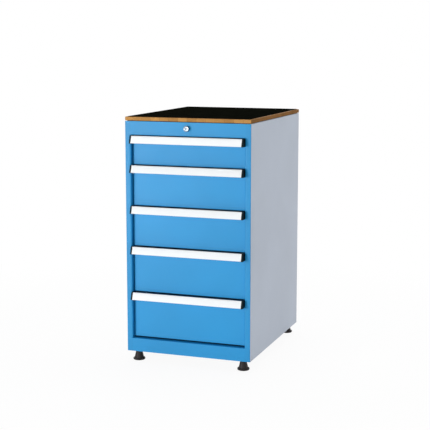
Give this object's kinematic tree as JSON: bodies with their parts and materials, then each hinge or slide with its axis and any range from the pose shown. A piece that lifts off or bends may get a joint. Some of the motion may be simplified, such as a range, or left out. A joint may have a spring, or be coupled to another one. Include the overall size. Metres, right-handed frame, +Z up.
{
  "type": "drawer cabinet",
  "caption": "Floor-standing steel drawer cabinet with a wooden worktop, rubber mat, full-width drawer handles, a central lock and levelling feet.",
  "frame": {"origin": "on the floor, below the middle of the whole cabinet including its handles", "axes": "+X to the right seen from the front, +Y from the drawer side to the back, +Z up"},
  "size_m": [0.56, 0.7509, 1.064],
  "materials": {
    "blue_paint": "satin light blue powder coat",
    "grey_paint": "satin light grey powder coat",
    "handle_aluminium": "pale anodised extrusion",
    "label_card": "plain white label strip under a clear cover",
    "black_plastic": "moulded, fine texture",
    "foot_plastic": "moulded, fine texture",
    "wood": "oiled board, clear edge",
    "rubber": "fine ribbed mat",
    "zinc_steel": "zinc plated",
    "lock_chrome": "polished"
  },
  "bodies": {
    "cabinet": {"front_post_left": "blue_paint", "front_post_right": "blue_paint", "top_rail": "blue_paint", "bottom_rail": "blue_paint", "side_panel_left": "grey_paint", "side_panel_right": "grey_paint", "back_panel": "grey_paint", "base_panel": "grey_paint", "top_panel": "grey_paint", "slide_uprights": "zinc_steel", "cabinet_slides": "zinc_steel", "worktop_board": "wood", "rubber_mat": "rubber", "worktop_screws": "zinc_steel", "foot_inserts": "zinc_steel", "lock_housing": "lock_chrome", "lock_nut": "zinc_steel", "lock_guides": "zinc_steel"},
    "drawer_1": {"drawer_1_tray": "grey_paint", "drawer_1_front": "blue_paint", "drawer_1_handle": "handle_aluminium", "drawer_1_end_caps": "black_plastic", "drawer_1_runners": "zinc_steel"},
    "middle_1": {"middle_slides_1": "zinc_steel"},
    "drawer_2": {"drawer_2_tray": "grey_paint", "drawer_2_front": "blue_paint", "drawer_2_handle": "handle_aluminium", "drawer_2_end_caps": "black_plastic", "drawer_2_runners": "zinc_steel"},
    "middle_2": {"middle_slides_2": "zinc_steel"},
    "drawer_3": {"drawer_3_tray": "grey_paint", "drawer_3_front": "blue_paint", "drawer_3_handle": "handle_aluminium", "drawer_3_end_caps": "black_plastic", "drawer_3_runners": "zinc_steel"},
    "middle_3": {"middle_slides_3": "zinc_steel"},
    "drawer_4": {"drawer_4_tray": "grey_paint", "drawer_4_front": "blue_paint", "drawer_4_handle": "handle_aluminium", "drawer_4_end_caps": "black_plastic", "drawer_4_runners": "zinc_steel"},
    "middle_4": {"middle_slides_4": "zinc_steel"},
    "drawer_5": {"drawer_5_tray": "grey_paint", "drawer_5_front": "blue_paint", "drawer_5_handle": "handle_aluminium", "drawer_5_end_caps": "black_plastic", "drawer_5_runners": "zinc_steel"},
    "middle_5": {"middle_slides_5": "zinc_steel"},
    "foot_front_left": {"foot_front_left_pad": "foot_plastic", "foot_front_left_stud": "zinc_steel"},
    "foot_front_right": {"foot_front_right_pad": "foot_plastic", "foot_front_right_stud": "zinc_steel"},
    "foot_back_left": {"foot_back_left_pad": "foot_plastic", "foot_back_left_stud": "zinc_steel"},
    "foot_back_right": {"foot_back_right_pad": "foot_plastic", "foot_back_right_stud": "zinc_steel"},
    "lock_plug": {"lock_plug": "lock_chrome", "lock_shaft": "zinc_steel"},
    "lock_bar": {"lock_bar": "zinc_steel", "lock_hooks": "zinc_steel"}
  },
  "joints": [
    {"name": "drawer_1_slide", "type": "slide", "parent": "cabinet", "child": "drawer_1", "axis": [0, -1, 0], "range_m": [0, 0.59]},
    {"name": "middle_1_slide", "type": "slide", "parent": "cabinet", "child": "middle_1", "axis": [0, -1, 0], "range_m": [0, 0.296]},
    {"name": "drawer_2_slide", "type": "slide", "parent": "cabinet", "child": "drawer_2", "axis": [0, -1, 0], "range_m": [0, 0.59]},
    {"name": "middle_2_slide", "type": "slide", "parent": "cabinet", "child": "middle_2", "axis": [0, -1, 0], "range_m": [0, 0.296]},
    {"name": "drawer_3_slide", "type": "slide", "parent": "cabinet", "child": "drawer_3", "axis": [0, -1, 0], "range_m": [0, 0.59]},
    {"name": "middle_3_slide", "type": "slide", "parent": "cabinet", "child": "middle_3", "axis": [0, -1, 0], "range_m": [0, 0.296]},
    {"name": "drawer_4_slide", "type": "slide", "parent": "cabinet", "child": "drawer_4", "axis": [0, -1, 0], "range_m": [0, 0.59]},
    {"name": "middle_4_slide", "type": "slide", "parent": "cabinet", "child": "middle_4", "axis": [0, -1, 0], "range_m": [0, 0.296]},
    {"name": "drawer_5_slide", "type": "slide", "parent": "cabinet", "child": "drawer_5", "axis": [0, -1, 0], "range_m": [0, 0.59]},
    {"name": "middle_5_slide", "type": "slide", "parent": "cabinet", "child": "middle_5", "axis": [0, -1, 0], "range_m": [0, 0.296]},
    {"name": "lock_bar_lift", "type": "slide", "parent": "cabinet", "child": "lock_bar", "axis": [0, 0, 1], "range_m": [0, 0.01131]},
    {"name": "lock_turn", "type": "hinge", "parent": "cabinet", "child": "lock_plug", "pos_m": [0, -0.3495, 1.018], "axis": [0, 1, 0], "range_deg": [0, 90.1]},
    {"name": "foot_front_left_level", "type": "slide", "parent": "cabinet", "child": "foot_front_left", "axis": [0, 0, -1], "range_m": [0, 0.02]},
    {"name": "foot_front_right_level", "type": "slide", "parent": "cabinet", "child": "foot_front_right", "axis": [0, 0, -1], "range_m": [0, 0.02]},
    {"name": "foot_back_left_level", "type": "slide", "parent": "cabinet", "child": "foot_back_left", "axis": [0, 0, -1], "range_m": [0, 0.02]},
    {"name": "foot_back_right_level", "type": "slide", "parent": "cabinet", "child": "foot_back_right", "axis": [0, 0, -1], "range_m": [0, 0.02]}
  ],
  "couplings": [
    {"joint": "middle_1_slide", "follows": "drawer_1_slide", "ratio": 0.5},
    {"joint": "middle_2_slide", "follows": "drawer_2_slide", "ratio": 0.5},
    {"joint": "middle_3_slide", "follows": "drawer_3_slide", "ratio": 0.5},
    {"joint": "middle_4_slide", "follows": "drawer_4_slide", "ratio": 0.5},
    {"joint": "middle_5_slide", "follows": "drawer_5_slide", "ratio": 0.5},
    {"joint": "lock_turn", "follows": "lock_bar_lift", "rad_per_m": 138.89}
  ]
}
